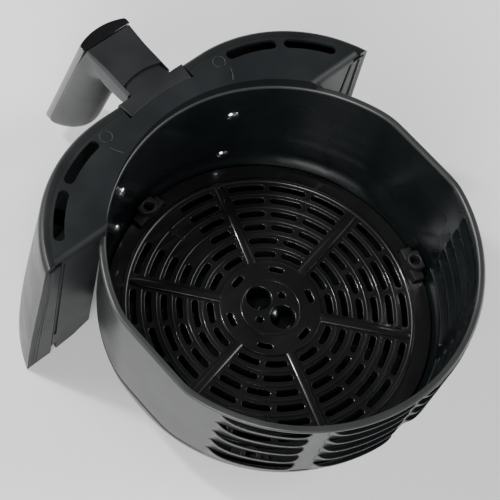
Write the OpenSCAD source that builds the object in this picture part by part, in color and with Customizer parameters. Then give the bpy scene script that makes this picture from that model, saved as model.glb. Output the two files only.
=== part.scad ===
// Drawer of a compact round-pan air fryer: a riveted pan with a louvred rear wall, a lift-out
// crisper plate on silicone bumpers, and a vented front housing with a hanging handle.
// Millimetres. +Z is up, the handle is towards -Y, the louvres are towards +Y.
// The origin is the middle of the pan's flat base.

/* [Pan] */
// Radius of the rolled rim
rim_r = 115; // [105:1:125]
// Height of the rim above the base
pan_h = 95.8; // [85:0.1:110]
// Thickness of the pan wall
wall_t = 1.5; // [1.2:0.1:2]
// Radius of the bend between wall and floor
floor_bend_r = 20; // [15:1:25]
// Distance of the two flat sides from the middle, at the rim
rim_flat_x = 111.4; // [109:0.2:113]
// Rows of louvres
louvre_rows = 5; // [3:1:5]
// Columns of louvres
louvre_cols = 4; // [2:1:4]
// Outward bulge of a louvre
louvre_bulge = 3.5; // [2:0.5:4]

/* [Crisper plate] */
// Radius of the plate
plate_r = 104; // [100:0.5:104]
// Height of the plate's top above the base
plate_top = 11; // [10:0.5:14]
// Thickness of the plate
plate_t = 2; // [1.5:0.1:2.5]
// Radius of a finger hole
finger_hole_r = 8; // [7:0.5:9]

/* [Housing] */
// Height of the housing's top above the pan's base
cap_top = 103.7; // [103:0.1:106]
// Depth of the housing below the pan's base
skirt_drop = 26; // [10:1:30]
// Radius of the rounded corners of the front, at the top
corner_r = 95.5; // [90:0.5:100]
// Sideways place of the corner centres
corner_x = 39.3; // [30:0.1:45]
// Distance of the corner centres in front of the pan's middle
corner_y = 37.4; // [35:0.1:40]
// Distance of the rear face in front of the pan's middle
rear_y = 72.5; // [70:0.5:76]
// Thickness of the plastic shells
shell_t = 2.5; // [2:0.1:3]
// Outward flare of the front shell, at its widest
flare = 6.5; // [3:0.5:8]
// Width of a vent slot
vent_w = 6.5; // [4:0.5:8]

/* [Handle] */
// Width of the grip
grip_w = 36; // [32:0.5:40]
// Width of the neck
neck_w = 33; // [28:0.5:34]
// Lean of the grip away from the housing
lean = 12.5; // [8:0.5:14]
// Reach of the neck in front of the pan's middle, to the trim
reach = 173.3; // [165:0.1:180]
// Depth of the grip behind its front trim
grip_d = 19.5; // [17:0.5:22]
// Thickness of the glossy front trim, in the middle
trim_t = 8.5; // [6:0.5:10]

/* [Hidden] */

$fn = 96;
eps = 0.05;
big = 400;

// Pan
rim_t = 2.6;
wall_top_r = rim_r - 3;
wall_base_r = wall_top_r - 1.5;
wall_flat_x = rim_flat_x - 2.9;
louvre_h = 11;
louvre_pitch = 14;
louvre_first_z = 87.5;
louvre_span = 28;
louvre_step = 34;
rivet_a = 24.6;
rivets = [[66, 0.2], [20, 0.8]];  // height of each, and how far its head stands off the curved wall
rivet_r = 2.4;
rivet_head_r = 5;
rivet_head_h = 1.2;

// Crisper plate
spoke_turn = 10;
ring_rs = [38.5, 48.2, 58, 67.8, 77.6, 87.2];
marked_sixth = 4;
slot_w = 4;
disc_r = 33;
lip_r = 92.5;
lip_w = 3;
relief_h = 1.2;
bumper_turns = [280, 160, 40];
bumper_w = 24;
bumper_in_r = 96;
bumper_lo = 4;
bumper_hi = 19;
bumper_gap = 0.5;

// Housing
lip_band = 6;
seam = 0.15;
cap_in_r = 111.3;
strip_in_x = 116.5;
strip_d = 4;
groove_x = 113.4;
groove_w = 2;
vent_r = 84;
vent_arcs = [[10.4, 28.9], [36.6, 54.8]];  // angles of the middles of the round ends
boss_r = 3.5;
pilot_r = 1.3;
bracket_boss = [44.8, -118];
bracket_tab_z = 82;
tab_t = 2;
sheet_t = 0.8;
shield_r = 118;
cover_bosses = [[81.2, -99.6], [98.5, -85.5]];
shelf_z = 67;
shelf_t = 3;
shelf_w = 9;

// Handle
front_y = -corner_y - corner_r;
neck_top = cap_top + 1.8;
neck_under = 89;
neck_bevel = 1.3;
grip_foot = -3.5;
foot_r = 12;
bend_r = 8;
saddle_w = 50.4;
saddle_in_r = 124.1;
saddle_z = cap_top - 4.5;
tongue_w = neck_w - 3;
step_y = -143;
step_r = 40;
root_z = 91;
root_in_y = -118.5;
core_w = 20;
core_t = 3;
core_z = 93.5;
core_in = 8;
core_leg = 80;
screw_x = 9;
screw_y = -127;
screw_r = 2;
screw_head_r = 4;
nut_plate_t = 2.5;
trim_edge = 4.5;
peg_r = 2.5;
peg_zs = [-30, -75];

// ---------- outlines ----------

// Points of an arc round c, from angle a0 to a1
function arc_pts(c, r, a0, a1, n = 8) =
    [for (i = [0:n]) let (a = a0 + (a1 - a0) * i / n) [c[0] + r * cos(a), c[1] + r * sin(a)]];

module mirrored() {
    children();
    mirror([1, 0, 0]) children();
}

module flat_disc(r, flat_x) {
    intersection() {
        circle(r);
        square([2 * flat_x, 2 * r + 2], center = true);
    }
}

// Half section of a round vessel with a bent foot
module vessel_section(top_r, base_r, h, bend) {
    square([base_r - bend, bend + eps]);
    translate([base_r - bend, bend]) intersection() {
        circle(bend);
        translate([0, -bend]) square([bend, bend + eps]);
    }
    polygon([[0, bend], [base_r, bend], [top_r, h], [0, h]]);
}

// Space inside the pan, drawn in by a clearance
module pan_cavity(clear = 0) {
    intersection() {
        translate([0, 0, wall_t + clear]) rotate_extrude()
            vessel_section(wall_top_r - wall_t - clear, wall_base_r - wall_t - clear,
                           pan_h - wall_t - clear + 1, floor_bend_r - wall_t - clear);
        cube([2 * (wall_flat_x - wall_t - clear), big, big], center = true);
    }
}

// ---------- pan ----------

function louvre_z(row) = louvre_first_z - louvre_h - louvre_pitch * row;

// Puts its children at each louvre of one row
module louvre_places(row)
    for (i = [0:louvre_cols - 1])
        rotate([0, 0, 90 + louvre_step * (i - (louvre_cols - 1) / 2)])
            translate([0, 0, louvre_z(row)]) children();

// Radius of the wall's outer face at height z
function wall_r(z) = wall_base_r + (wall_top_r - wall_base_r) * (z - floor_bend_r)
                     / (pan_h - floor_bend_r);

// Body of a louvre's scoop on a wall of radius r, drawn in by an inset. It leans out to its mouth.
module louvre_scoop(r, inset) {
    half = r * sin(louvre_span / 2);
    rise = r * (1 - cos(louvre_span / 2)) + louvre_bulge;
    bow_r = (half * half + rise * rise) / (2 * rise);
    intersection() {
        translate([r + louvre_bulge, 0, louvre_h]) rotate([0, atan(louvre_bulge / louvre_h), 0])
            translate([-bow_r, 0, -2 * louvre_h]) cylinder(r = bow_r - inset, h = 3 * louvre_h);
        translate([r - 8, -half, 0]) cube([20, 2 * half, louvre_h]);
    }
}

module louvres(inset)
    for (row = [0:louvre_rows - 1]) louvre_places(row) louvre_scoop(wall_r(louvre_z(row)), inset);

// Puts its children at the two rivets of height z, with their z axis pointing out of the wall
module rivet_places(z)
    mirrored() rotate([0, 0, -90 + rivet_a]) translate([0, 0, z]) rotate([0, 90, 0]) children();

module rivet_holes()
    for (v = rivets) rivet_places(v[0]) cylinder(r = rivet_r, h = big, $fn = 24);

module pan() {
    color([0.25, 0.25, 0.26]) difference() {
        union() {
            intersection() {
                rotate_extrude() vessel_section(wall_top_r, wall_base_r, pan_h - 0.5, floor_bend_r);
                cube([2 * wall_flat_x, big, big], center = true);
            }
            translate([0, 0, pan_h - rim_t])
                linear_extrude(rim_t) flat_disc(rim_r, rim_flat_x);
            louvres(0);
        }
        pan_cavity();
        louvres(wall_t);
        rivet_holes();
    }
}

module pan_bracket() {
    span = 2 * rivet_a + 16;
    color([0.6, 0.6, 0.62]) difference() {
        union() {
            rotate([0, 0, -90 - span / 2]) rotate_extrude(angle = span)
                translate([wall_top_r - 0.2, 8]) square([1.5, bracket_tab_z + tab_t - 8]);
            mirrored() translate([bracket_boss[0] - 9, bracket_boss[1] - 6, bracket_tab_z])
                difference() {
                    cube([18, 24, tab_t]);
                    translate([9 - bracket_boss[0], 6 - bracket_boss[1], -1])
                        cylinder(r = wall_top_r + 0.5, h = tab_t + 2);
                }
        }
        rivet_holes();
        mirrored() translate([bracket_boss[0], bracket_boss[1], bracket_tab_z - 1])
            cylinder(r = 2.2, h = tab_t + 2, $fn = 24);
    }
}

module pan_rivets() {
    tail = wall_top_r + 1.3;
    color([0.8, 0.8, 0.82]) for (v = rivets) {
        head = wall_r(v[0]) - wall_t - v[1] - rivet_head_h;
        rivet_places(v[0]) {
            translate([0, 0, head]) cylinder(r = rivet_head_r, h = rivet_head_h, $fn = 48);
            translate([0, 0, head]) cylinder(r = rivet_r, h = tail + rivet_head_h - head, $fn = 48);
            translate([0, 0, tail]) cylinder(r = rivet_head_r - 1, h = rivet_head_h, $fn = 48);
        }
    }
}

module heat_shield() {
    span = 98;
    color([0.72, 0.72, 0.74]) difference() {
        union() {
            rotate([0, 0, -90 - span / 2]) rotate_extrude(angle = span)
                translate([shield_r, -5]) square([sheet_t, bracket_tab_z + 5]);
            mirrored() translate([bracket_boss[0] - 8, bracket_boss[1] - 6, bracket_tab_z - sheet_t])
                difference() {
                    cube([16, 20, sheet_t]);
                    translate([8 - bracket_boss[0], 6 - bracket_boss[1], -1])
                        cylinder(r = shield_r + sheet_t / 2, h = sheet_t + 2);
                }
        }
        mirrored() translate([bracket_boss[0], bracket_boss[1], bracket_tab_z - 5])
            cylinder(r = 2.2, h = 10, $fn = 24);
    }
}

// Pan-head screw pointing up, its head's underside at z = 0
module screw(r, head_r, head_h, shank) {
    difference() {
        union() {
            translate([0, 0, -head_h]) cylinder(r = head_r, h = head_h, $fn = 24);
            translate([0, 0, -eps]) cylinder(r = r, h = shank + eps, $fn = 24);
        }
        translate([0, 0, -head_h - eps]) for (a = [0, 90]) rotate([0, 0, a])
            translate([-0.4, -head_r * 0.6, 0]) cube([0.8, head_r * 1.2, 1]);
    }
}

module bracket_screws()
    color([0.75, 0.75, 0.77]) mirrored()
        translate([bracket_boss[0], bracket_boss[1], bracket_tab_z - sheet_t]) screw(1.3, 3.6, 2.2, 14);

// ---------- crisper plate ----------

// Slot along an arc, with square ends
module arc_slot(r, w, a0, a1, z0, h)
    rotate([0, 0, a0]) rotate_extrude(angle = a1 - a0) translate([r - w / 2, z0]) square([w, h]);

// Slots of one sixth: two in the inner rings and three in the outer ones. Where a mark sits, the
// outer rings leave out the middle one.
module sector_slots(marked) {
    margin = 3.2;
    gap = 3.6;
    for (k = [0:len(ring_rs) - 1]) {
        r = ring_rs[k];
        n = k < 2 ? 2 : 3;
        a_margin = asin(margin / r) + 1.5;
        a_gap = gap / r * 180 / PI;
        a_slot = (60 - 2 * a_margin - (n - 1) * a_gap) / n;
        for (i = [0:n - 1]) if (!marked || n == 2 || i != 1)
            arc_slot(r, slot_w, a_margin + i * (a_slot + a_gap),
                     a_margin + i * (a_slot + a_gap) + a_slot, -1, plate_t + 2);
    }
}

module bumper_seat(grow)
    translate([bumper_in_r - grow, -bumper_w / 2 - grow, -1]) cube([20, bumper_w + 2 * grow, plate_t + 5]);

module crisper_plate() {
    color([0.17, 0.17, 0.17]) translate([0, 0, plate_top - plate_t]) difference() {
        union() {
            cylinder(r = plate_r, h = plate_t);
            cylinder(r = disc_r, h = plate_t + relief_h);
            rotate_extrude() translate([lip_r - lip_w / 2, 0]) square([lip_w, plate_t + relief_h]);
            for (k = [0:5]) rotate([0, 0, spoke_turn + 60 * k])
                translate([disc_r - 1, -2.5, 0]) cube([lip_r - disc_r, 5, plate_t + relief_h]);
        }
        for (k = [0:5]) rotate([0, 0, spoke_turn + 60 * k]) {
            sector_slots(k == marked_sixth);
            arc_slot(27, 3, 22, 38, -1, plate_t + 3);
        }
        for (s = [-1, 1]) rotate([0, 0, spoke_turn + 90]) translate([s * 9.7, 0, -1])
            cylinder(r = finger_hole_r, h = plate_t + 3, $fn = 48);
        for (s = [-1, 1]) rotate([0, 0, spoke_turn]) translate([s * 11.5, 0, -1])
            cylinder(r = 2.2, h = plate_t + 3, $fn = 24);
        for (a = bumper_turns) rotate([0, 0, a]) bumper_seat(0.1);
    }
}

// Silicone bumper that grips the edge of the plate
module bumper(turn) {
    color([0.12, 0.12, 0.12]) intersection() {
        pan_cavity(bumper_gap);
        rotate([0, 0, turn]) translate([0, 0, bumper_lo]) difference() {
            translate([bumper_in_r, -bumper_w / 2, 0]) cube([20, bumper_w, bumper_hi - bumper_lo]);
            translate([101.5, 0, 5]) cylinder(r = 2.6, h = 20, $fn = 32);
        }
    }
}

module bumper_front() bumper(bumper_turns[0]);
module bumper_left() bumper(bumper_turns[1]);
module bumper_right() bumper(bumper_turns[2]);

// ---------- housing ----------

// Outward flare of the front shell's face at height z
function flare_at(z) = flare * sin(90 * pow((cap_top - z) / (cap_top + skirt_drop), 1.3));

// Section of the front shell, with r measured outwards from a corner centre
module shell_section() {
    n = 9;
    edge_r = 4;
    zs = [for (i = [0:n]) -skirt_drop + (cap_top - edge_r + skirt_drop) * i / n];
    outer = [for (z = zs) [corner_r + flare_at(z), z]];
    edge = arc_pts([corner_r - edge_r, cap_top - edge_r], edge_r, 15, 90, 5);
    lip = [[corner_r - lip_band, cap_top], [corner_r - lip_band, cap_top - shell_t]];
    inner = [for (i = [n:-1:0]) [corner_r - shell_t + flare_at(zs[i]), zs[i]]];
    polygon(concat(outer, edge, lip, inner));
}

// A section carried round the front: two corners and the straight stretch between them
module round_front() {
    intersection() {
        union() {
            mirrored() translate([corner_x, -corner_y, 0]) rotate([0, 0, -90])
                rotate_extrude(angle = 80) children();
            translate([corner_x, -corner_y, 0]) rotate([90, 0, -90])
                linear_extrude(2 * corner_x) children();
        }
        translate([-big / 2, -rear_y - big, -big / 2]) cube([big, big, big]);
    }
}

// Room for the handle's cover plate in the top of the housing, with a clearance
module saddle_space(gap)
    translate([0, 0, saddle_z - gap]) linear_extrude(cap_top) difference() {
        translate([-saddle_w / 2 - gap, -big]) square([saddle_w + 2 * gap, big]);
        circle(saddle_in_r - gap);
    }

// Curved through slots in the top, with round ends
module vents()
    mirrored() translate([corner_x, -corner_y, cap_top - 12]) for (v = vent_arcs) {
        rotate([0, 0, v[0] - 90]) rotate_extrude(angle = v[1] - v[0])
            translate([vent_r - vent_w / 2, 0]) square([vent_w, 20]);
        for (a = v) rotate([0, 0, a - 90]) translate([vent_r, 0, 0]) cylinder(r = vent_w / 2, h = 20, $fn = 32);
    }

// Shelf that carries the screws of the inner cover, on the inside of the shell
module cover_shelf(p) {
    a = atan2(p[1] + corner_y, p[0] - corner_x);
    reach_in = norm([p[0] - corner_x, p[1] + corner_y]) - boss_r - 1.5;
    difference() {
        translate([corner_x, -corner_y, shelf_z]) rotate([0, 0, a])
            translate([reach_in, -shelf_w / 2, 0]) cube([corner_r - reach_in + 0.5, shelf_w, shelf_t]);
        translate([p[0], p[1], shelf_z - 1]) cylinder(r = 1.9, h = shelf_t + 2, $fn = 24);
    }
}

module front_shell() {
    deck_t = root_z - neck_under + 2;
    color([0.2, 0.2, 0.21]) difference() {
        union() {
            round_front() shell_section();
            mirrored() for (p = cover_bosses) cover_shelf(p);
            translate([-24, front_y - 0.3, root_z - deck_t]) cube([48, root_in_y - front_y + 0.3, deck_t]);
        }
        saddle_space(0);
        translate([-neck_w / 2, -200, root_z]) cube([neck_w, 200 + root_in_y, 40]);
        mirrored() translate([screw_x, screw_y, 0]) cylinder(r = screw_r + 0.2, h = big, $fn = 24);
    }
}

// Bottom edge of a rear panel: it steps at the groove and rises towards the pan
function panel_outline() = [
    [strip_in_x - 0.3, cap_top], [strip_in_x - 0.3, -15], [groove_x - 1, -15], [groove_x - 1.5, -skirt_drop + 1],
    [98, -22.5], [86, -16], [80, -14], [80, cap_top]
];

module rear_panel()
    translate([0, -rear_y, 0]) rotate([90, 0, 0]) difference() {
        linear_extrude(shell_t) polygon(panel_outline());
        translate([groove_x, 0, -1]) cube([groove_w, cap_top - 6, 2]);
    }

module inner_cover() {
    fillet_r = 5;
    plate_out_r = corner_r - lip_band - seam;
    color([0.15, 0.15, 0.15]) difference() {
        union() {
            difference() {
                round_front() translate([0, cap_top - shell_t]) square([plate_out_r, shell_t]);
                saddle_space(seam);
                vents();
            }
            intersection() {
                translate([0, 0, pan_h + 0.3]) cylinder(r = cap_in_r + 2.5, h = cap_top - pan_h - 0.3);
                round_front() square([plate_out_r, cap_top]);
            }
            mirrored() rear_panel();
            mirrored() for (p = cover_bosses) translate([p[0], p[1], shelf_z + shelf_t])
                cylinder(r = boss_r, h = cap_top - shell_t / 2 - shelf_z - shelf_t, $fn = 32);
            mirrored() translate([bracket_boss[0], bracket_boss[1], bracket_tab_z + tab_t])
                cylinder(r = boss_r + 0.5, h = cap_top - shell_t / 2 - bracket_tab_z - tab_t, $fn = 32);
        }
        translate([0, 0, -big / 2]) cylinder(r = wall_top_r + 0.5, h = big / 2 + pan_h - rim_t - 1);
        translate([0, 0, pan_h - rim_t - 1.01]) cylinder(r = rim_r + 0.5, h = rim_t + 1.31);
        translate([0, 0, pan_h]) cylinder(r = cap_in_r, h = 20);
        mirrored() for (p = cover_bosses) translate([p[0], p[1], shelf_z])
            cylinder(r = pilot_r, h = 22, $fn = 24);
        mirrored() translate([bracket_boss[0], bracket_boss[1], bracket_tab_z])
            cylinder(r = pilot_r, h = 15, $fn = 24);
        translate([0, -rear_y, cap_top]) rotate([0, 90, 0]) linear_extrude(big, center = true)
            difference() {
                translate([-eps, -fillet_r]) square([fillet_r + eps, fillet_r + eps]);
                translate([fillet_r, -fillet_r]) circle(fillet_r, $fn = 48);
            }
    }
}

// Strip that closes the gap between the front shell and a rear panel
module edge_strip() {
    zs = [for (i = [0:6]) -skirt_drop + (cap_top - 6 + skirt_drop) * i / 6];
    color([0.3, 0.3, 0.31]) intersection() {
        round_front() polygon(concat([[0, zs[0]]],
            [for (z = zs) [corner_r - shell_t + flare_at(z) - 0.05, z]], [[0, zs[6]]]));
        translate([strip_in_x, -rear_y - strip_d, -skirt_drop]) cube([30, strip_d, cap_top + skirt_drop]);
    }
}

module edge_strip_right() edge_strip();
module edge_strip_left() mirror([1, 0, 0]) edge_strip();

module cover_screws()
    color([0.75, 0.75, 0.77]) mirrored() for (p = cover_bosses)
        translate([p[0], p[1], shelf_z]) screw(1.3, 3.4, 2.2, 20);

// ---------- handle ----------

// The grip's own axes: z runs up the leaning grip, and y = 0 is the face that the trim sits on
module grip_axes() translate([0, -reach, neck_top]) rotate([-lean, 0, 0]) children();

// Extrudes a section of the grip over its whole length, cut level at both ends
module along_grip()
    intersection() {
        grip_axes() translate([0, 0, -150]) linear_extrude(200) children();
        translate([-big / 2, -big, grip_foot]) cube([big, big, neck_top - grip_foot]);
    }

module grip_section() {
    half = grip_w / 2;
    intersection() {
        translate([0, grip_d - half]) union() {
            circle(half);
            translate([-half, -grip_w]) square([grip_w, grip_w]);
        }
        translate([-half, 0]) square([grip_w, grip_d]);
    }
}

module trim_section() {
    half = grip_w / 2;
    sag = trim_t - trim_edge;
    front_r = (half * half + sag * sag) / (2 * sag);
    intersection() {
        translate([0, front_r - trim_t]) circle(front_r);
        translate([-half, -trim_t]) square([grip_w, trim_t - eps]);
    }
}

// Side outline of grip and neck, as y and z: down the front, round the foot and up into the neck
module handle_side() {
    foot_y = -reach - (neck_top - grip_foot) * tan(lean);
    foot_back_y = foot_y + grip_d / cos(lean);
    foot = [foot_back_y - foot_r * (1 - sin(lean)) / cos(lean), grip_foot + foot_r];
    bend_z = neck_under - 3 - bend_r;
    bend_back_y = -reach - (neck_top - bend_z) * tan(lean) + grip_d / cos(lean);
    bend = [bend_back_y + bend_r / cos(lean), bend_z];
    neck_end_y = front_y - 0.7;
    polygon(concat(
        [[-reach, neck_top], [foot_y, grip_foot]],
        arc_pts(foot, foot_r, -90, -lean, 7),
        arc_pts(bend, bend_r, 180 - lean, 97, 7),
        [[neck_end_y, neck_under], [neck_end_y, neck_top]]
    ));
}

// Bevelled section of the neck, carried along Y
module neck_block(length) {
    half = neck_w / 2;
    rotate([90, 0, 0]) linear_extrude(length) polygon([
        [-half, 70], [half, 70], [half, neck_top - 2 * neck_bevel], [half - neck_bevel, neck_top],
        [-half + neck_bevel, neck_top], [-half, neck_top - 2 * neck_bevel]
    ]);
}

module tongue(gap)
    intersection() {
        translate([-tongue_w / 2 - gap, step_y - gap]) square([tongue_w + 2 * gap, front_y - step_y + 5]);
        translate([0, step_y + step_r]) circle(step_r + gap);
    }

// Place in side view of a point v behind the trim's seat and w along the grip
function on_grip(v, w) = [-reach + v * cos(lean) + w * sin(lean), neck_top - v * sin(lean) + w * cos(lean)];

// The same, where the line at v meets height z
function grip_at_z(v, z) = on_grip(v, (z - neck_top + v * sin(lean)) / cos(lean));

// Bent steel strap inside neck and grip, with a clearance
module core_shape(gap) {
    lo = core_z - gap;
    hi = core_z + core_t + gap;
    v0 = core_in - gap;
    v1 = core_in + core_t + gap;
    end_y = root_in_y - 1 + gap;
    w = core_w + 2 * gap;
    translate([-w / 2, 0, 0]) rotate([90, 0, 90]) linear_extrude(w) polygon([
        [end_y, hi], grip_at_z(v0, hi), on_grip(v0, -core_leg - gap), on_grip(v1, -core_leg - gap),
        grip_at_z(v1, lo), [end_y, lo]
    ]);
}

module handle_body() {
    root_w = neck_w - 2 * seam;
    color([0.22, 0.22, 0.23]) difference() {
        union() {
            intersection() {
                translate([-grip_w / 2, 0, 0]) rotate([90, 0, 90]) linear_extrude(grip_w) handle_side();
                union() {
                    along_grip() grip_section();
                    translate([0, front_y, 0]) neck_block(reach + front_y + 8);
                }
            }
            translate([-root_w / 2, front_y - 2, root_z])
                cube([root_w, root_in_y - front_y + 1.5, saddle_z - root_z - seam]);
        }
        translate([0, 0, saddle_z - seam]) linear_extrude(20) tongue(seam);
        core_shape(0.1);
        mirrored() translate([screw_x, screw_y, 0]) cylinder(r = screw_r + 0.1, h = big, $fn = 24);
        mirrored() translate([screw_x, screw_y, core_z + core_t]) cylinder(r = screw_head_r + 0.2, h = 20, $fn = 24);
        for (z = peg_zs) grip_axes() translate([0, -eps, z]) rotate([-90, 0, 0])
            cylinder(r = peg_r + 0.1, h = core_in - 1.5, $fn = 24);
    }
}

module handle_core()
    color([0.6, 0.6, 0.62]) difference() {
        core_shape(0);
        mirrored() translate([screw_x, screw_y, 0]) cylinder(r = screw_r + 0.1, h = big, $fn = 24);
    }

module handle_trim()
    color([0.08, 0.08, 0.08]) {
        along_grip() trim_section();
        for (z = peg_zs) grip_axes() translate([0, -2, z]) rotate([-90, 0, 0])
            cylinder(r = peg_r, h = core_in, $fn = 24);
    }

module handle_cover_plate() {
    half = saddle_w / 2 - seam;
    color([0.24, 0.24, 0.25]) translate([0, 0, saddle_z]) linear_extrude(cap_top - saddle_z) {
        difference() {
            translate([-half, front_y]) square([2 * half, 20]);
            circle(saddle_in_r);
        }
        tongue(0);
    }
}

module handle_screws()
    color([0.75, 0.75, 0.77]) mirrored() translate([screw_x, screw_y, core_z + core_t])
        rotate([180, 0, 0]) screw(screw_r, screw_head_r, 2.2, 16);

module nut_plate() {
    top = neck_under - 2;
    color([0.6, 0.6, 0.62]) difference() {
        translate([-18, screw_y - 3.5, top - nut_plate_t]) cube([36, 9, nut_plate_t]);
        mirrored() translate([screw_x, screw_y, 0]) cylinder(r = screw_r + 0.05, h = big, $fn = 24);
    }
}

pan();
pan_bracket();
pan_rivets();
heat_shield();
bracket_screws();
crisper_plate();
bumper_front();
bumper_left();
bumper_right();
front_shell();
inner_cover();
edge_strip_left();
edge_strip_right();
cover_screws();
handle_body();
handle_core();
handle_trim();
handle_cover_plate();
handle_screws();
nut_plate();
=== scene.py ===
"""Looks of an air fryer drawer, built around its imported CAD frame.

Metres, +Z up, the handle towards -Y, the louvres towards +Y, the origin in the middle of the
pan's base. Outlines are written in millimetres and scaled once, where their mesh is made.
"""
import math

import bmesh
import bpy
from mathutils import Matrix, Vector


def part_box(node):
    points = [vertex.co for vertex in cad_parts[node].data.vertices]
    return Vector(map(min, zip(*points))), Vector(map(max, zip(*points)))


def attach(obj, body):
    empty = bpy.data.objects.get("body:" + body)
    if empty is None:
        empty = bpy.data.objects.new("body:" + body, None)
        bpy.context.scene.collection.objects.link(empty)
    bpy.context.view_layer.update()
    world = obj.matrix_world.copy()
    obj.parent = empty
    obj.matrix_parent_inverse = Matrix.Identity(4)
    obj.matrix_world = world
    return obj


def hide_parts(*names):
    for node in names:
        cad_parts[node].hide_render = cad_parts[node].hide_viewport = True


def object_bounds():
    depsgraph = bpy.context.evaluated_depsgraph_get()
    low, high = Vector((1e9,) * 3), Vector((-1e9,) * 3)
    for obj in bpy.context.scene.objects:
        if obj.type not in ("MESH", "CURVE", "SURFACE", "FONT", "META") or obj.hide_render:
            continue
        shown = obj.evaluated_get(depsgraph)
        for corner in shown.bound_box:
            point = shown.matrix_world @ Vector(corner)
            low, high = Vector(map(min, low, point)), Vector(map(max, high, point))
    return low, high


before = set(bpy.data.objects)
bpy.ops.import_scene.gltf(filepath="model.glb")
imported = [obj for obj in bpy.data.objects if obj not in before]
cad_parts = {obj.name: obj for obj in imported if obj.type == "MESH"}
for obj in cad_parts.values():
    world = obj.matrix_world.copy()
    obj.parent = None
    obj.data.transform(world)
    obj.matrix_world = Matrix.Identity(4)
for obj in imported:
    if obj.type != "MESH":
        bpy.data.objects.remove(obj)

MM = 0.001
cad_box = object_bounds()


def box_mm(node):
    low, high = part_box(node)
    return low / MM, high / MM


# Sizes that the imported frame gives, in millimetres
RIM_FLAT_X, RIM_R, PAN_H = box_mm("pan")[1]
PLATE_HIGH = box_mm("crisper_plate")[1]
COVER_TOP = box_mm("inner_cover")[1].z
HANDLE_LOW, HANDLE_HIGH = box_mm("handle_body")
FLOOR_Z = cad_box[0][2]  # in metres


# ---------- meshes ----------

def new_object(name, data):
    made = bpy.data.objects.new(name, data)
    bpy.context.scene.collection.objects.link(made)
    return made


def clean(mesh, merge):
    """Joins points closer than merge, in metres, and turns every face outwards."""
    work = bmesh.new()
    work.from_mesh(mesh)
    bmesh.ops.remove_doubles(work, verts=work.verts, dist=merge)
    bmesh.ops.recalc_face_normals(work, faces=work.faces)
    work.to_mesh(mesh)
    work.free()


def evaluated_mesh(piece):
    """A new mesh of what a piece looks like with its curve settings or modifiers applied."""
    bpy.context.view_layer.update()
    return bpy.data.meshes.new_from_object(
        piece.evaluated_get(bpy.context.evaluated_depsgraph_get()))


def add_mesh(name, verts, faces, body, materials, replaced=(), smooth_angle=40):
    """A piece from points in millimetres, which rides on a body and may replace CAD nodes."""
    mesh = bpy.data.meshes.new(name)
    mesh.from_pydata([Vector(v) * MM for v in verts], [], faces)
    mesh.validate()
    piece = new_object(name, mesh)
    clean(mesh, 1e-6)
    return finish_piece(piece, body, materials, replaced, smooth_angle)


def finish_piece(piece, body, materials, replaced=(), smooth_angle=40):
    for material in materials:
        piece.data.materials.append(material)
    smooth(piece, smooth_angle)
    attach(piece, body)
    if replaced:
        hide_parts(*replaced)
    return piece


def smooth(piece, angle):
    for polygon in piece.data.polygons:
        polygon.use_smooth = True
    piece.data.set_sharp_from_angle(angle=math.radians(angle))


def bevel(piece, width, segments=3, angle=35):
    modifier = piece.modifiers.new("bevel", "BEVEL")
    modifier.width = width * MM
    modifier.segments = segments
    modifier.limit_method = "ANGLE"
    modifier.angle_limit = math.radians(angle)
    return modifier


def polar(r, degrees, z):
    a = math.radians(degrees)
    return (r * math.cos(a), r * math.sin(a), z)


def arc(cx, cy, r, start, end, steps):
    """Points of an arc in a plane, both ends included."""
    turns = [math.radians(start + (end - start) * i / steps) for i in range(steps + 1)]
    return [(cx + r * math.cos(a), cy + r * math.sin(a)) for a in turns]


def turned(points, degrees):
    """Points (outwards, sideways) that were drawn towards +X, turned about the z axis."""
    a = math.radians(degrees)
    return [(u * math.cos(a) - v * math.sin(a), u * math.sin(a) + v * math.cos(a))
            for u, v in points]


def grid_faces(rows, columns, close_rows=False, close_columns=False, start=0):
    """Faces of a grid of points, laid out row by row."""
    faces = []
    for i in range(rows if close_rows else rows - 1):
        for j in range(columns if close_columns else columns - 1):
            i1, j1 = (i + 1) % rows, (j + 1) % columns
            faces.append((start + i * columns + j, start + i * columns + j1,
                          start + i1 * columns + j1, start + i1 * columns + j))
    return faces


class Shape:
    """Collects closed solids into one mesh."""

    def __init__(self):
        self.verts, self.faces = [], []

    def loft(self, sections, closed=False):
        """Joins rings of equally many points, and caps both ends unless the loft is closed."""
        start, n = len(self.verts), len(sections[0])
        for ring in sections:
            self.verts += ring
        self.faces += grid_faces(len(sections), n, closed, True, start)
        if not closed:
            last = start + n * (len(sections) - 1)
            self.faces.append(tuple(range(start, start + n)))
            self.faces.append(tuple(reversed(range(last, last + n))))
        return self

    def revolve(self, profile, steps=96, start=0, end=360):
        """Turns a closed profile of (r, z) points about the z axis."""
        full = end - start >= 360
        count = steps if full else steps + 1
        rings = [[polar(r, start + (end - start) * i / steps, z) for r, z in profile]
                 for i in range(count)]
        return self.loft(rings, closed=full)

    def dome(self, profile, steps=32, place=None):
        """Turns an open profile that starts and ends on the axis into a closed solid."""
        first = len(self.verts)
        rings = [[polar(r, 360 * i / steps, z) for i in range(steps)] for r, z in profile[1:-1]]
        points = [p for ring in rings for p in ring]
        points += [(0, 0, profile[0][1]), (0, 0, profile[-1][1])]
        if place:
            points = [tuple(place @ Vector(p)) for p in points]
        self.verts += points
        self.faces += grid_faces(len(rings), steps, False, True, first)
        low, high = first + len(rings) * steps, first + len(rings) * steps + 1
        last = first + (len(rings) - 1) * steps
        for i in range(steps):
            j = (i + 1) % steps
            self.faces.append((low, first + j, first + i))
            self.faces.append((high, last + i, last + j))
        return self


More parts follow.
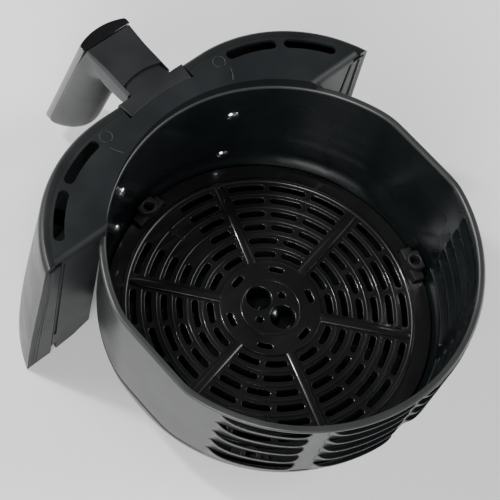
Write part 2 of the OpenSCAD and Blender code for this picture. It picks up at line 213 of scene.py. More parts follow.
def filled_plate(name, outlines, low, high, edge, body, materials, replaced=()):
    """Flat plate between two heights, with rounded edges.

    The first outline is its rim, and the others are holes.
    """
    curve = bpy.data.curves.new(name, "CURVE")
    curve.dimensions = "2D"
    curve.fill_mode = "BOTH"
    curve.extrude = ((high - low) / 2 - edge) * MM
    curve.bevel_depth = edge * MM
    curve.bevel_resolution = 2
    curve.offset = -edge * MM
    for outline in outlines:
        spline = curve.splines.new("POLY")
        spline.points.add(len(outline) - 1)
        for point, (x, y) in zip(spline.points, outline):
            point.co = (x * MM, y * MM, 0, 1)
        spline.use_cyclic_u = True
    drawn = new_object(name, curve)
    mesh = evaluated_mesh(drawn)
    bpy.data.objects.remove(drawn)
    mesh.transform(Matrix.Translation((0, 0, (low + high) / 2 * MM)))
    clean(mesh, 2e-6)
    mesh.materials.clear()
    return finish_piece(new_object(name, mesh), body, materials, replaced, 50)


# ---------- materials ----------

def surface(name, color, roughness, metallic=0.0, specular=0.5, coat=0.0, coat_roughness=0.1,
            variation=0.15, rough_variation=0.06, grain=900, grain_height=0.00002, patch=35,
            stretch=(1, 1, 1)):
    """Moulded, coated or metal surface.

    Its tone and gloss drift slowly, and a fine grain breaks up reflections.
    """
    material = bpy.data.materials.new(name)
    material.use_nodes = True
    nodes, links = material.node_tree.nodes, material.node_tree.links
    shader = nodes["Principled BSDF"]
    shader.inputs["Metallic"].default_value = metallic
    shader.inputs["Specular IOR Level"].default_value = specular
    shader.inputs["Coat Weight"].default_value = coat
    shader.inputs["Coat Roughness"].default_value = coat_roughness
    place = nodes.new("ShaderNodeTexCoord")
    mapping = nodes.new("ShaderNodeMapping")
    mapping.inputs["Scale"].default_value = stretch
    links.new(place.outputs["Object"], mapping.inputs["Vector"])

    drift = nodes.new("ShaderNodeTexNoise")
    drift.inputs["Scale"].default_value = patch
    drift.inputs["Detail"].default_value = 4
    links.new(mapping.outputs["Vector"], drift.inputs["Vector"])
    ramp = nodes.new("ShaderNodeValToRGB")
    ramp.color_ramp.elements[0].position = 0.3
    ramp.color_ramp.elements[1].position = 0.7
    ramp.color_ramp.elements[0].color = [c * (1 - variation) for c in color] + [1]
    ramp.color_ramp.elements[1].color = [min(1, c * (1 + variation)) for c in color] + [1]
    links.new(drift.outputs["Fac"], ramp.inputs["Fac"])
    links.new(ramp.outputs["Color"], shader.inputs["Base Color"])

    gloss = nodes.new("ShaderNodeMapRange")
    gloss.inputs["From Min"].default_value = 0.3
    gloss.inputs["From Max"].default_value = 0.7
    gloss.inputs["To Min"].default_value = max(0.02, roughness - rough_variation)
    gloss.inputs["To Max"].default_value = roughness + rough_variation
    links.new(drift.outputs["Fac"], gloss.inputs["Value"])
    links.new(gloss.outputs["Result"], shader.inputs["Roughness"])

    fine = nodes.new("ShaderNodeTexNoise")
    fine.inputs["Scale"].default_value = grain
    fine.inputs["Detail"].default_value = 3
    links.new(mapping.outputs["Vector"], fine.inputs["Vector"])
    bump = nodes.new("ShaderNodeBump")
    bump.inputs["Strength"].default_value = 0.5
    bump.inputs["Distance"].default_value = grain_height
    links.new(fine.outputs["Fac"], bump.inputs["Height"])
    links.new(bump.outputs["Normal"], shader.inputs["Normal"])
    return material


NONSTICK = surface("nonstick_inside", (0.0045, 0.0062, 0.007), 0.26, coat=0.3,
                   coat_roughness=0.14, grain=420)
PAN_OUTSIDE = surface("pan_outside", (0.034, 0.035, 0.0355), 0.34, metallic=0.15,
                      grain=700, grain_height=0.00001)
PLATE_COAT = surface("plate_coating", (0.0085, 0.0088, 0.0082), 0.3, specular=0.45, coat=0.6,
                     coat_roughness=0.07, grain=650, grain_height=0.00003)
SILICONE = surface("silicone", (0.012, 0.012, 0.012), 0.48, specular=0.4, grain=1200)
HOUSING = surface("housing_plastic", (0.011, 0.012, 0.0125), 0.34, specular=0.28,
                  grain=900, grain_height=0.000008)
COVER = surface("cover_plastic", (0.0075, 0.0092, 0.0102), 0.42, specular=0.4, grain=1600)
HANDLE = surface("handle_plastic", (0.0125, 0.0138, 0.0148), 0.38,
                 grain=1500, grain_height=0.000015)
TRIM = surface("gloss_trim", (0.006, 0.006, 0.0065), 0.07, specular=0.55, coat=0.6,
               coat_roughness=0.03, rough_variation=0.02, grain=500, grain_height=0.000003)
RIVET = surface("rivet_metal", (0.62, 0.63, 0.65), 0.2, metallic=1.0,
                grain=1500, grain_height=0.00001)
SHEET_STEEL = surface("sheet_steel", (0.5, 0.5, 0.52), 0.3, metallic=1.0,
                      grain=300, stretch=(1, 1, 12))
SHIELD = surface("shield_metal", (0.66, 0.66, 0.68), 0.24, metallic=1.0,
                 grain=250, stretch=(1, 1, 10))
SCREW = surface("screw_metal", (0.6, 0.6, 0.62), 0.3, metallic=1.0, grain=1800)


# ---------- pan ----------

SHEET = 1.5          # wall thickness
WALL_OUT = 3.0       # how far the wall stands in from the rim's edge
FLOOR_BEND = 20      # radius between wall and floor
TAPER = 1.5          # how much narrower the wall is at the foot
LOUVRE_ANGLES = (39, 73, 107, 141)
LOUVRE_HALF = 14     # degrees
LOUVRE_TOPS = (87.5, 73.5, 59.5, 45.5, 31.5)
LOUVRE_DROP = 12
LOUVRE_BULGE = 4.8
SCOOP_SHEET = 0.3    # shares of the wall's thickness
RIM_SHEET = 0.35
FLAT_BLEND = 0.7     # softness of the change from round wall to flat side
RIVET_HEIGHTS = (66, 20)
RIVET_TURN = 24.6    # degrees either side of the front


def wall_radius(degrees, round_r, flat_x):
    """Radius of a circle with two flat sides that blend into it.

    Where the circle is smaller, the flats fade out.
    """
    flat_r = flat_x / max(abs(math.cos(math.radians(degrees))), 0.2)
    gap = (flat_r - round_r) / FLAT_BLEND
    return round_r - FLAT_BLEND * math.log1p(math.exp(-gap)) if gap > -30 else flat_r


def wall_drop(z):
    return TAPER * min(1.0, max(0.0, (PAN_H - z) / (PAN_H - FLOOR_BEND)))


def scoop_rise(degrees):
    """Bulge of the scoop that lies at this angle.

    The ends beside a flat side taper, and the others are blunt.
    """
    first, last = LOUVRE_ANGLES[0], LOUVRE_ANGLES[-1]
    for centre in LOUVRE_ANGLES:
        t = (degrees - centre) / LOUVRE_HALF
        if abs(t) < 1:
            tapered = (centre == first and t < 0) or (centre == last and t > 0)
            return LOUVRE_BULGE * (1 - abs(t) ** 4.5 if tapered else math.sqrt(1 - abs(t) ** 8))
    return 0.0


def build_pan():
    """The pan's inner face, row by row from the rim to the middle of the floor, then thickened.

    Where a louvre opens, a row has two points at one angle: the lip of the scoop, and the wall.
    """
    # Whole degrees, and half degrees across the louvres
    angles = list(range(0, 22)) + [22 + 0.5 * i for i in range(272)] + list(range(158, 360))
    rim_r, lip_r = 1.6, 1.8
    rows = [("rim", WALL_OUT - 1.4, PAN_H - 3.2), ("rim", WALL_OUT - 0.5, PAN_H - 2.9)]
    rows += [("rim", x, z) for x, z in arc(WALL_OUT - rim_r, PAN_H - rim_r, rim_r, -20, 90, 7)]
    rows += [("rim", x, z) for x, z in arc(lip_r - SHEET, PAN_H - lip_r, lip_r, 90, 180, 7)]
    rows.append(("wall", -SHEET, PAN_H - 5))
    for top in LOUVRE_TOPS:
        rows += [("wall", -SHEET, top - LOUVRE_DROP * i / 9) for i in range(10)]
    rows.append(("wall", -SHEET, FLOOR_BEND + 0.01))
    bend = FLOOR_BEND - SHEET
    for x, z in arc(-SHEET - bend, FLOOR_BEND, bend, 0, -90, 9):
        rows.append(("bend", x, z))

    verts, rings, weights = [], [], []
    for kind, offset, z in rows:
        slit = kind == "wall" and z in LOUVRE_TOPS
        over, under = [], []
        for angle in angles:
            drop, flat = (0, offset) if kind == "rim" else (wall_drop(z), -SHEET)
            base = wall_radius(angle, RIM_R - WALL_OUT - drop + offset,
                               RIM_FLAT_X - WALL_OUT + 0.1 + flat)
            rise = 0.0
            for top in LOUVRE_TOPS:
                if kind == "wall" and top - LOUVRE_DROP < z <= top:
                    down = math.pi / 2 * (top - z) / LOUVRE_DROP
                    rise = scoop_rise(angle) * math.cos(down) ** 1.3
            verts.append(polar(base + rise, angle, z))
            share = min(1.0, rise / 1.5)
            weights.append(RIM_SHEET if kind == "rim" else 1 - (1 - SCOOP_SHEET) * share)
            under.append(len(verts) - 1)
            if slit and rise > 0:
                verts.append(polar(base, angle, z))
                weights.append(1.0)
            over.append(len(verts) - 1)
        rings.append((kind, over, under))
    foot = [verts[i] for i in rings[-1][2]]
    for scale in (0.93, 0.8, 0.6, 0.35, 0.12, 0.001):
        ring = list(range(len(verts), len(verts) + len(foot)))
        verts += [(x * scale, y * scale, z) for x, y, z in foot]
        weights += [1.0] * len(foot)
        rings.append(("floor", ring, ring))
    faces, kinds = [], []
    for (kind, _, under), (next_kind, next_over, _) in zip(rings, rings[1:]):
        for j in range(len(angles)):
            k = (j + 1) % len(angles)
            faces.append((under[k], next_over[k], next_over[j], under[j]))
            kinds.append(1 if kind == next_kind == "rim" else 0)

    mesh = bpy.data.meshes.new("pan_body")
    mesh.from_pydata([Vector(v) * MM for v in verts], [], faces)
    for polygon, kind in zip(mesh.polygons, kinds):
        polygon.material_index = kind
    piece = new_object("pan_body", mesh)
    group = piece.vertex_groups.new(name="thickness")
    for weight in sorted(set(weights)):
        group.add([i for i, w in enumerate(weights) if w == weight], weight, "REPLACE")
    sheet = piece.modifiers.new("sheet", "SOLIDIFY")
    sheet.thickness = SHEET * MM
    sheet.offset = -1
    sheet.vertex_group = "thickness"
    sheet.material_offset = 1
    sheet.material_offset_rim = 1
    return finish_piece(piece, "drawer", [NONSTICK, PAN_OUTSIDE, PAN_OUTSIDE],
                        ["pan"], 50)


def build_rivets():
    """Rivets with a domed head inside the pan and a clinched tail outside."""
    shape = Shape()
    for z in RIVET_HEIGHTS:
        inner = RIM_R - WALL_OUT - wall_drop(z) - SHEET
        tail = RIM_R - WALL_OUT + 1.3 - inner
        turns = [math.radians(90 - 10 * i) for i in range(1, 9)]
        head = [(4.6 * math.cos(a), -2.0 * math.sin(a)) for a in turns]
        profile = [(0, -2.0)] + head
        profile += [(4.8, 0), (2.4, 0.05), (2.4, tail), (4, tail), (4, tail + 0.8),
                    (3.2, tail + 1.2), (0, tail + 1.2)]
        to_wall = Matrix.Translation((inner, 0, z))
        lie_down = Matrix.Rotation(math.radians(90), 4, "Y")
        for turn in (-90 - RIVET_TURN, -90 + RIVET_TURN):
            around = Matrix.Rotation(math.radians(turn), 4, "Z")
            shape.dome(profile, 40, around @ to_wall @ lie_down)
    return add_mesh("pan_rivet_set", shape.verts, shape.faces, "drawer", [RIVET],
                    ["pan_rivets"])


# ---------- crisper plate ----------

SECTOR = 60          # degrees from spoke to spoke
SPOKE_TURN = 10
RINGS = (38.5, 48.2, 58, 67.8, 77.6, 87.2)  # radii of the rings of slots
RIDGES = (43.4, 53.1, 62.9, 72.7, 82.4)     # radii of the ridges between them
SLOT_W = 4
SPOKE_HALF = 3.2
SLOT_GAP = 3.6       # between two slots of a ring
HUB_R = 33
LIP_H = 1.2
PLATE_LIP_R = 92.5
PLATE_EDGE_R = 104
PLATE_TOP = PLATE_HIGH.z - LIP_H
PLATE_SHEET = 2
NOTCH_R, NOTCH_HALF = 95.9, 12.1
BUMPER_TURNS = {"bumper_front": 280, "bumper_left": 160, "bumper_right": 40}
ARROW_SECTOR = 4
ARROW_R = 77
SPOKE_SECTIONS = ((31.5, 7.4, 1.1), (34, 6.4, 1.9), (60, 6.2, 1.9),  # radius, width, height
                  (85, 6.2, 1.9), (89, 5.2, 1.4), (91, 3, 0.6))
HUB_ROUND_HOLES = ((9.7, SPOKE_TURN + 90, 8), (11.5, SPOKE_TURN, 2.2))  # distance, turn, radius


def arc_slot(r, width, start, end):
    """Outline of a slot along an arc, with round ends. The angles are those of its tips."""
    half = width / 2
    trim = math.degrees(half / r)
    a0, a1 = start + trim, end - trim
    steps = max(3, round((a1 - a0) / 3))
    outer = arc(0, 0, r + half, a0, a1, steps)
    inner = arc(0, 0, r - half, a1, a0, steps)
    end_x, end_y, _ = polar(r, a1, 0)
    start_x, start_y, _ = polar(r, a0, 0)
    cap = arc(end_x, end_y, half, a1, a1 + 180, 8)[1:-1]
    back = arc(start_x, start_y, half, a0 + 180, a0 + 360, 8)[1:-1]
    return outer + cap + inner + back


def sector_slots():
    """Slots of all six sectors, with a free place for the arrow."""
    slots = []
    for sixth in range(6):
        for k, r in enumerate(RINGS):
            count = 2 if k < 2 else 3
            margin = math.degrees(math.asin(SPOKE_HALF / r)) + 1.5
            gap = math.degrees(SLOT_GAP / r)
            length = (SECTOR - 2 * margin - (count - 1) * gap) / count
            for i in range(count):
                if sixth == ARROW_SECTOR and k >= 2 and i == 1:
                    continue
                start = SPOKE_TURN + SECTOR * sixth + margin + i * (length + gap)
                slots.append(arc_slot(r, SLOT_W, start, start + length))
    return slots


def plate_outline():
    """Rim of the plate with a square notch for each bumper."""
    half_turn = math.degrees(math.asin(NOTCH_HALF / PLATE_HIGH.x))
    outline, turns = [], sorted(BUMPER_TURNS.values())
    for i, turn in enumerate(turns):
        following = turns[(i + 1) % 3] + (360 if i == 2 else 0)
        outline += turned([(NOTCH_R, -NOTCH_HALF), (NOTCH_R, NOTCH_HALF)], turn)
        outline += arc(0, 0, PLATE_EDGE_R, turn + half_turn, following - half_turn, 60)
    return outline


def circle(x, y, r, steps=48):
    return arc(x, y, r, 0, 360 - 360 / steps, steps - 1)


def half_round(r, width, low, height, steps=8):
    """Closed profile of a low ridge with a rounded top."""
    sunk = low - 0.3
    top = [(r - width / 2 * math.cos(math.pi * i / steps),
            low + height * math.sin(math.pi * i / steps) ** 0.8) for i in range(steps + 1)]
    return [(r - width / 2, sunk)] + top + [(r + width / 2, sunk)]


def build_crisper():
    """Slotted deck, raised hub with finger holes, fine ridges, six spokes and the arrow."""
    coat = [PLATE_COAT]
    holes = sector_slots()
    filled_plate("crisper_deck", [plate_outline(), circle(0, 0, HUB_R - 1.5, 96)] + holes,
                 PLATE_TOP - PLATE_SHEET, PLATE_TOP, 0.45, "crisper", coat,
                 ["crisper_plate"])
    starts = [SPOKE_TURN + SECTOR * k for k in range(6)]
    hub_holes = [arc_slot(27, 3.4, start + 20, start + 40) for start in starts]
    for side in (-1, 1):
        for along, turn, r in HUB_ROUND_HOLES:
            x, y, _ = polar(side * along, turn, 0)
            hub_holes.append(circle(x, y, r, 40))
    filled_plate("crisper_hub", [circle(0, 0, HUB_R, 120)] + hub_holes, PLATE_TOP - PLATE_SHEET,
                 PLATE_TOP + LIP_H, 0.7, "crisper", coat)
    ridges = Shape()
    for r in RIDGES:
        edge = math.degrees(4.6 / r)
        for start in starts:
            ridges.revolve(half_round(r, 1.5, PLATE_TOP, 0.45), 24,
                           start + edge, start + SECTOR - edge)
    ridges.revolve(half_round(18.9, 1.3, PLATE_TOP + LIP_H, 0.35), 72)
    ridges.revolve(half_round(PLATE_LIP_R, 3, PLATE_TOP, LIP_H), 180)
    add_mesh("crisper_ridges", ridges.verts, ridges.faces, "crisper", coat)
    spokes = Shape()
    for start in starts:
        sections = []
        for r, width, height in SPOKE_SECTIONS:
            profile = half_round(0, width, PLATE_TOP, height, 12)
            sections.append([turned([(r, p)], start)[0] + (z,) for p, z in profile])
        spokes.loft(sections)
    add_mesh("crisper_spokes", spokes.verts, spokes.faces, "crisper", coat)
    build_arrow()


def build_arrow():
    """Small raised arrow that points at the front bumper."""
    outline = [(-6, -0.9), (1.5, -0.9), (1.5, -3.4), (7, 0), (1.5, 3.4), (1.5, 0.9), (-6, 0.9)]
    placed = turned([(ARROW_R + u, v) for u, v in outline], BUMPER_TURNS["bumper_front"])
    filled_plate("crisper_arrow", [placed], PLATE_TOP - 0.3, PLATE_TOP + 0.6, 0.15, "crisper",
                 [PLATE_COAT])


def build_bumpers():
    """Silicone bumpers: a foot that grips the plate's edge, two tabs and a raised D-shaped cup."""
    def wall_arc(r, half, steps=12):
        reach = math.degrees(math.asin(half / r))
        return arc(0, 0, r, -reach, reach, steps)

    foot = wall_arc(98.8, 11.6) + [(96.3, 11.6), (96.3, -11.6)]
    tabs = wall_arc(104.8, 11.8) + [(97.2, 11.8), (97.2, -11.8)]
    cup = wall_arc(106.2, 6.0) + arc(102.9, 0, 6.6, 65, 295, 20)
    hollow = circle(101.6, 0, 3.2, 32)
    for name, turn in BUMPER_TURNS.items():
        low, high = box_mm(name)
        filled_plate(name + "_foot", [turned(foot, turn)], low.z, PLATE_TOP - 1.5, 0.5,
                     "crisper", [SILICONE])
        filled_plate(name + "_tabs", [turned(tabs, turn)], PLATE_TOP - 1.8, PLATE_TOP + 3.2, 0.8,
                     "crisper", [SILICONE], [name])
        filled_plate(name + "_cup", [turned(cup, turn), turned(hollow, turn)], PLATE_TOP + 1,
                     high.z, 0.8, "crisper", [SILICONE])


# ---------- handle ----------

LEAN_DEGREES = 12.5
LEAN = math.radians(LEAN_DEGREES)
REACH = 173.3        # how far in front of the pan's axis the trim's seat meets the neck's top
NECK_TOP = HANDLE_HIGH.z
GRIP_FOOT = HANDLE_LOW.z
GRIP_HALF = 18
GRIP_D = 19.5
GRIP_LEAD = 1.15     # the front of each low section rises this much faster than its back
GRIP_FRONT_TOP = 91.0
NECK_HALF = 16.5
FOOT_R = 12
BEND = Vector((-151.2, 78.0))  # centre of the bend under the neck, in side view
BEND_R = 8
NECK_START, NECK_END = -152.2, -134.2
NECK_UNDER_START, NECK_UNDER_END = 85.94, 89
STEP_Y, STEP_R = -103, 40.15   # centre and radius of the step in the neck's top
STEP_HALF = 15.15
STEP_Z = 98.75
TONGUE_R, TONGUE_HALF = 40, 14.9
PLATE_SHOULDER = -132.9


def on_grip(v, z):
    """Place in side view of the line that lies v behind the trim's seat, at height z."""
    along = (z - NECK_TOP + v * math.sin(LEAN)) / math.cos(LEAN)
    return Vector((-REACH + v * math.cos(LEAN) + along * math.sin(LEAN), z))


def handle_section(front, back, half, square, chamfer, straight):
    """Ring of points between a front and a back point in side view.

    It is chamfered at the front and round at the back. A smaller square gives fuller corners.
    """
    depth = (back - front).length
    along = (back - front) / depth
    steps = 22
    points = [(half - chamfer, 0), (half, 2 * chamfer)]
    for i in range(steps + 1):
        a = math.pi * i / steps
        c, s = math.cos(a), math.sin(a)
        points.append((half * math.copysign(abs(c) ** square, c),
                       straight + (depth - straight) * abs(s) ** square))
    points += [(-half, 2 * chamfer), (-half + chamfer, 0)]
    return [(x, front.x + along.x * v, front.y + along.y * v) for x, v in points]


def handle_sections():
    """Sections from the rounded foot up the grip, round the bend and along the neck."""
    foot_front = on_grip(0, GRIP_FOOT)
    foot_back = foot_front + Vector((GRIP_D / math.cos(LEAN), 0))
    foot = Vector((foot_back.x - FOOT_R * (1 - math.sin(LEAN)) / math.cos(LEAN),
                   GRIP_FOOT + FOOT_R))
    sections = []
    for i in range(9):
        a = math.radians(-90 + (90 - LEAN_DEGREES) * i / 8)
        back = foot + FOOT_R * Vector((math.cos(a), math.sin(a)))
        front = on_grip(0, GRIP_FOOT + (back.y - GRIP_FOOT) * GRIP_LEAD)
        sections.append(handle_section(front, back, GRIP_HALF, 1.0, 0.25, 1.5))
    low = (foot + FOOT_R * Vector((math.cos(LEAN), -math.sin(LEAN)))).y
    top_back = BEND + BEND_R * Vector((-math.cos(LEAN), math.sin(LEAN)))
    for i in range(1, 9):
        back = on_grip(GRIP_D, low + (top_back.y - low) * i / 9)
        front = on_grip(0, GRIP_FOOT + (low - GRIP_FOOT) * GRIP_LEAD
                        + (GRIP_FRONT_TOP - low) * (i / 9))
        sections.append(handle_section(front, back, GRIP_HALF, 1.0, 0.25, 1.5))
    fan = 16
    for i in range(fan + 1):
        t = i / fan
        ease = t * t * (3 - 2 * t)
        a = math.pi - LEAN - (math.pi - LEAN - math.radians(97)) * t
        ray = Vector((math.cos(a), math.sin(a)))
        to_top = (NECK_TOP - BEND.y) / ray.y
        across = math.cos(LEAN) * (BEND.x + REACH) - math.sin(LEAN) * (BEND.y - NECK_TOP)
        speed = math.cos(LEAN) * ray.x - math.sin(LEAN) * ray.y
        to_front = -across / speed if speed < 0 else 1e9
        front = BEND + ray * min(to_top, to_front)
        half = GRIP_HALF + (NECK_HALF - GRIP_HALF) * ease
        sections.append(handle_section(front, BEND + ray * BEND_R, half, 1.0 - 0.68 * ease,
                                       0.25 + 1.05 * ease, 1.5 + 1.4 * ease))
    for i in range(1, 5):
        y = NECK_START + (NECK_END - NECK_START) * i / 4
        under = NECK_UNDER_START + (NECK_UNDER_END - NECK_UNDER_START) * i / 4
        sections.append(handle_section(Vector((y, NECK_TOP)), Vector((y, under)), NECK_HALF,
                                       0.32, 1.3, 2.9))
    return sections


def build_handle_body():
    """Grip and neck in one, with a step in the neck's top for the cover plate's tongue."""
    shape = Shape().loft(handle_sections())
    body = add_mesh("handle_grip", shape.verts, shape.faces, "drawer", [HANDLE],
                    ["handle_body"], 38)

    round_end = [(x, y) for x, y in arc(0, STEP_Y, STEP_R, -158, -22, 40) if abs(x) < STEP_HALF]
    outline = [(-STEP_HALF, -120), (-STEP_HALF, round_end[0][1])] + round_end
    outline += [(STEP_HALF, round_end[-1][1]), (STEP_HALF, -120)]
    cutter = Shape().loft([[(x, y, z) for x, y in outline] for z in (STEP_Z, 120)])
    tool = add_mesh("step_cutter", cutter.verts, cutter.faces, "drawer", [HANDLE])
    cut = body.modifiers.new("step", "BOOLEAN")
    cut.object = tool
    cut.operation = "DIFFERENCE"
    cut.solver = "EXACT"
    made = evaluated_mesh(body)
    # The bevel folds faces of many corners, so the cut's faces become triangles first
    work = bmesh.new()
    work.from_mesh(made)
    bmesh.ops.recalc_face_normals(work, faces=work.faces)
    many_sided = [f for f in work.faces if len(f.verts) > 4]
    bmesh.ops.triangulate(work, faces=many_sided, ngon_method="EAR_CLIP")
    work.to_mesh(made)
    work.free()
    body.modifiers.clear()
    body.data = made
    bpy.data.objects.remove(tool)
    smooth(body, 38)
    bevel(body, 0.3, 2, 50)

    half, front, back = 16.3, -135.4, -119
    corners = ((-half, front), (half, front), (half, back), (-half, back))
    root = Shape().loft([[(x, y, z) for x, y in corners] for z in (91, 98.7)])
    bevel(add_mesh("handle_root", root.verts, root.faces, "drawer", [HANDLE]), 0.4, 2)


def build_cover_plate():
    """Plate that closes the root of the handle, with a tongue that reaches into the neck."""
    inner = [(x, y) for x, y in arc(0, 0, 124.1, -114, -66, 40) if abs(x) < 25]
    outline = [(-25.05, PLATE_SHOULDER), (-TONGUE_HALF, PLATE_SHOULDER)]
    outline += [(x, y) for x, y in arc(0, STEP_Y, TONGUE_R, -158, -22, 48)
                if abs(x) < TONGUE_HALF]
    outline += [(TONGUE_HALF, PLATE_SHOULDER), (25.05, PLATE_SHOULDER)] + list(reversed(inner))
    low, high = box_mm("handle_cover_plate")
    filled_plate("handle_cover", [outline], low.z, high.z, 0.4, "drawer", [HANDLE],
                 ["handle_cover_plate"])


def build_handle_trim():
    """Glossy front of the grip: its face is a shallow arc and its long edges are rounded."""
    edge, middle, round_r = 4.5, 8.5, 0.9
    sag = middle - edge
    front_r = (GRIP_HALF ** 2 + sag ** 2) / (2 * sag)
    outline = [(-GRIP_HALF, 0.0), (-GRIP_HALF, -edge + round_r)]
    for i in range(25):
        x = (GRIP_HALF - round_r * 0.7) * (2 * i / 24 - 1)
        outline.append((x, -middle + front_r - math.sqrt(front_r ** 2 - x ** 2)))
    outline += [(GRIP_HALF, -edge + round_r), (GRIP_HALF, 0.0)]
    sections = []
    for i in range(13):
        z = NECK_TOP + (GRIP_FOOT - NECK_TOP) * i / 12
        sections.append([(x, on_grip(v - 0.05, z).x, z) for x, v in outline])
    shape = Shape().loft(sections)
    face = add_mesh("handle_face", shape.verts, shape.faces, "drawer", [TRIM],
                    ["handle_trim"], 30)
    bevel(face, 0.5, 3, 50)


# ---------- small marks on the plastic ----------

BOSS_X, BOSS_Y, BOSS_R = 44.8, -120.5, 3.9
RIB_SHARES = (0.72, 0.88)  # places of the ribs across a strip
RIB_PROFILE = ((-0.45, 0), (-0.3, 0.5), (0, 0.65), (0.3, 0.5), (0.45, 0))


def build_cap_marks():
    """Faint raised rings and short ribs that the moulded bosses leave on top of the cover."""
    marks = Shape()
    for side in (-1, 1):
        ring = []
        for i in range(40):
            profile = half_round(BOSS_R, 0.9, COVER_TOP, 0.42)
            around = [polar(r, 360 * i / 40, z) for r, z in profile]
            ring.append([(side * BOSS_X + x, BOSS_Y + y, z) for x, y, z in around])
        marks.loft(ring, closed=True)
        rib = []
        for t in (0, 0.25, 0.5, 0.75, 1):
            x, y = side * (47.5 - 4.5 * t ** 1.5), -113.0 + 7.5 * t
            height = 0.6 if 0 < t < 1 else 0.05
            rib.append([(x + p, y, z) for p, z in half_round(0, 1.0, COVER_TOP, height)])
        marks.loft(rib)
    add_mesh("cover_marks", marks.verts, marks.faces, "drawer", [COVER])


def build_strip_ribs():
    """Two thin ribs that run down each strip, beside the edge of the front shell."""
    for name, side in (("edge_strip_left", -1), ("edge_strip_right", 1)):
        low, high = box_mm(name)
        inner = low.x if side > 0 else -high.x
        outer = high.x if side > 0 else -low.x
        ribs = Shape()
        for share in RIB_SHARES:
            sections = []
            for t in (0.01, 0.2, 0.4, 0.6, 0.8, 0.99):
                z = high.z + (low.z - high.z) * t
                bow = math.sin(math.radians(90 * t ** 1.3))
                x = inner + (outer - inner) * (0.42 + 0.58 * bow) * share
                sections.append([(side * (x + p), high.y - 0.2 + h, z) for p, h in RIB_PROFILE])
            ribs.loft(sections)
        add_mesh(name + "_ribs", ribs.verts, ribs.faces, "drawer", [HOUSING])


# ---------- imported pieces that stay: softened edges and their own finish ----------

def dress(node_name, material, width):
    """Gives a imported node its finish, rounded edges and smooth shading.

    Its own mesh stays as it is.
    """
    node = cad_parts[node_name]
    node.data.materials.clear()
    node.data.materials.append(material)
    for polygon in node.data.polygons:
        polygon.use_smooth = True
    weld = node.modifiers.new("weld", "WELD")
    weld.merge_threshold = 2e-6
    flat = node.modifiers.new("flat", "DECIMATE")
    flat.decimate_type = "DISSOLVE"
    flat.angle_limit = math.radians(0.8)
    rounded = bevel(node, width, 2, 32)
    rounded.use_clamp_overlap = True
    even = node.modifiers.new("even", "WEIGHTED_NORMAL")
    even.keep_sharp = True


build_pan()
build_rivets()
build_crisper()
build_bumpers()
build_handle_body()
build_handle_trim()
build_cover_plate()
build_cap_marks()
build_strip_ribs()
for name, material, width in (
        ("front_shell", HOUSING, 0.5), ("inner_cover", COVER, 0.35),
        ("edge_strip_left", HOUSING, 0.3), ("edge_strip_right", HOUSING, 0.3),
        ("pan_bracket", SHEET_STEEL, 0.2), ("heat_shield", SHIELD, 0.15),
        ("bracket_screws", SCREW, 0.15), ("cover_screws", SCREW, 0.15),
        ("handle_screws", SCREW, 0.15), ("handle_core", SHEET_STEEL, 0.3),
        ("nut_plate", SHEET_STEEL, 0.2)):
    dress(name, material, width)


# ---------- camera, floor and light ----------

def place_camera():
    """Camera above the pan's right rear, looking down into it.

    It is rolled so that the handle is up to the left.
    """
    target = Vector((0.006, -0.025, 0.060))
    distance = 0.953
    azimuth, elevation, roll = math.radians(30.5), math.radians(61.2), math.radians(19.7)
    towards = Vector((math.cos(azimuth) * math.cos(elevation),
                      math.sin(azimuth) * math.cos(elevation), math.sin(elevation)))
    level = Vector((0, 0, 1)).cross(towards).normalized()
    right = math.cos(roll) * level + math.sin(roll) * towards.cross(level)
    data = bpy.data.cameras.new("camera")
    data.lens = 113.2
    data.sensor_width = 36
    camera = new_object("camera", data)
    camera.location = target + towards * distance
    camera.rotation_euler = Matrix((right, towards.cross(right), towards)).transposed().to_euler()
    bpy.context.scene.camera = camera


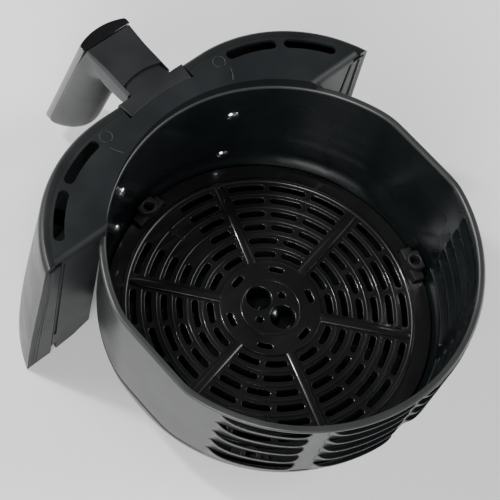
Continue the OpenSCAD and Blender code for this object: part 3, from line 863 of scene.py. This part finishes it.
def area_light(name, place, aim, width, height, power):
    data = bpy.data.lights.new(name, "AREA")
    data.shape = "RECTANGLE"
    data.size = width
    data.size_y = height
    data.energy = power
    lamp = new_object(name, data)
    lamp.location = place
    lamp.rotation_euler = (Vector(aim) - Vector(place)).to_track_quat("-Z", "Y").to_euler()


def make_stage():
    """White floor, and a room that is bright near the floor and dark overhead.

    Glossy faces that look up mirror the dark part.
    """
    bpy.ops.mesh.primitive_plane_add(size=12, location=(0, 0, FLOOR_Z - 0.0002))
    floor = bpy.context.object
    floor.name = "floor"
    material = bpy.data.materials.new("floor")
    material.use_nodes = True
    shader = material.node_tree.nodes["Principled BSDF"]
    shader.inputs["Base Color"].default_value = (0.92, 0.92, 0.92, 1)
    shader.inputs["Roughness"].default_value = 0.95
    shader.inputs["Specular IOR Level"].default_value = 0.1
    floor.data.materials.append(material)
    world = bpy.data.worlds.new("world")
    world.use_nodes = True
    nodes, links = world.node_tree.nodes, world.node_tree.links
    place = nodes.new("ShaderNodeTexCoord")
    split = nodes.new("ShaderNodeSeparateXYZ")
    links.new(place.outputs["Generated"], split.inputs["Vector"])
    ramp = nodes.new("ShaderNodeValToRGB")
    ramp.color_ramp.elements[0].position = 0.15
    ramp.color_ramp.elements[0].color = (0.9, 0.9, 0.9, 1)
    ramp.color_ramp.elements[1].position = 0.6
    ramp.color_ramp.elements[1].color = (0.075, 0.08, 0.082, 1)
    links.new(split.outputs["Z"], ramp.inputs["Fac"])
    links.new(ramp.outputs["Color"], nodes["Background"].inputs["Color"])
    nodes["Background"].inputs["Strength"].default_value = 0.8
    bpy.context.scene.world = world


def sun(name, towards, power, spread):
    data = bpy.data.lights.new(name, "SUN")
    data.energy = power
    data.angle = math.radians(spread)
    lamp = new_object(name, data)
    lamp.rotation_euler = Vector(towards).to_track_quat("Z", "Y").to_euler()


place_camera()
make_stage()
sun("sun_right", (0.95, 0.55, 0.62), 2.5, 40)
sun("sun_left", (-1.0, 0.6, 0.62), 2.3, 40)
sun("sun_front", (0.45, -1.0, 0.62), 2.0, 40)
area_light("key", (0.75, 0.55, 0.6), (0, 0, 0.05), 0.35, 0.35, 4)
area_light("glint", (0.36, -0.62, 0.98), (0.04, -0.02, 0.01), 0.07, 0.16, 7)
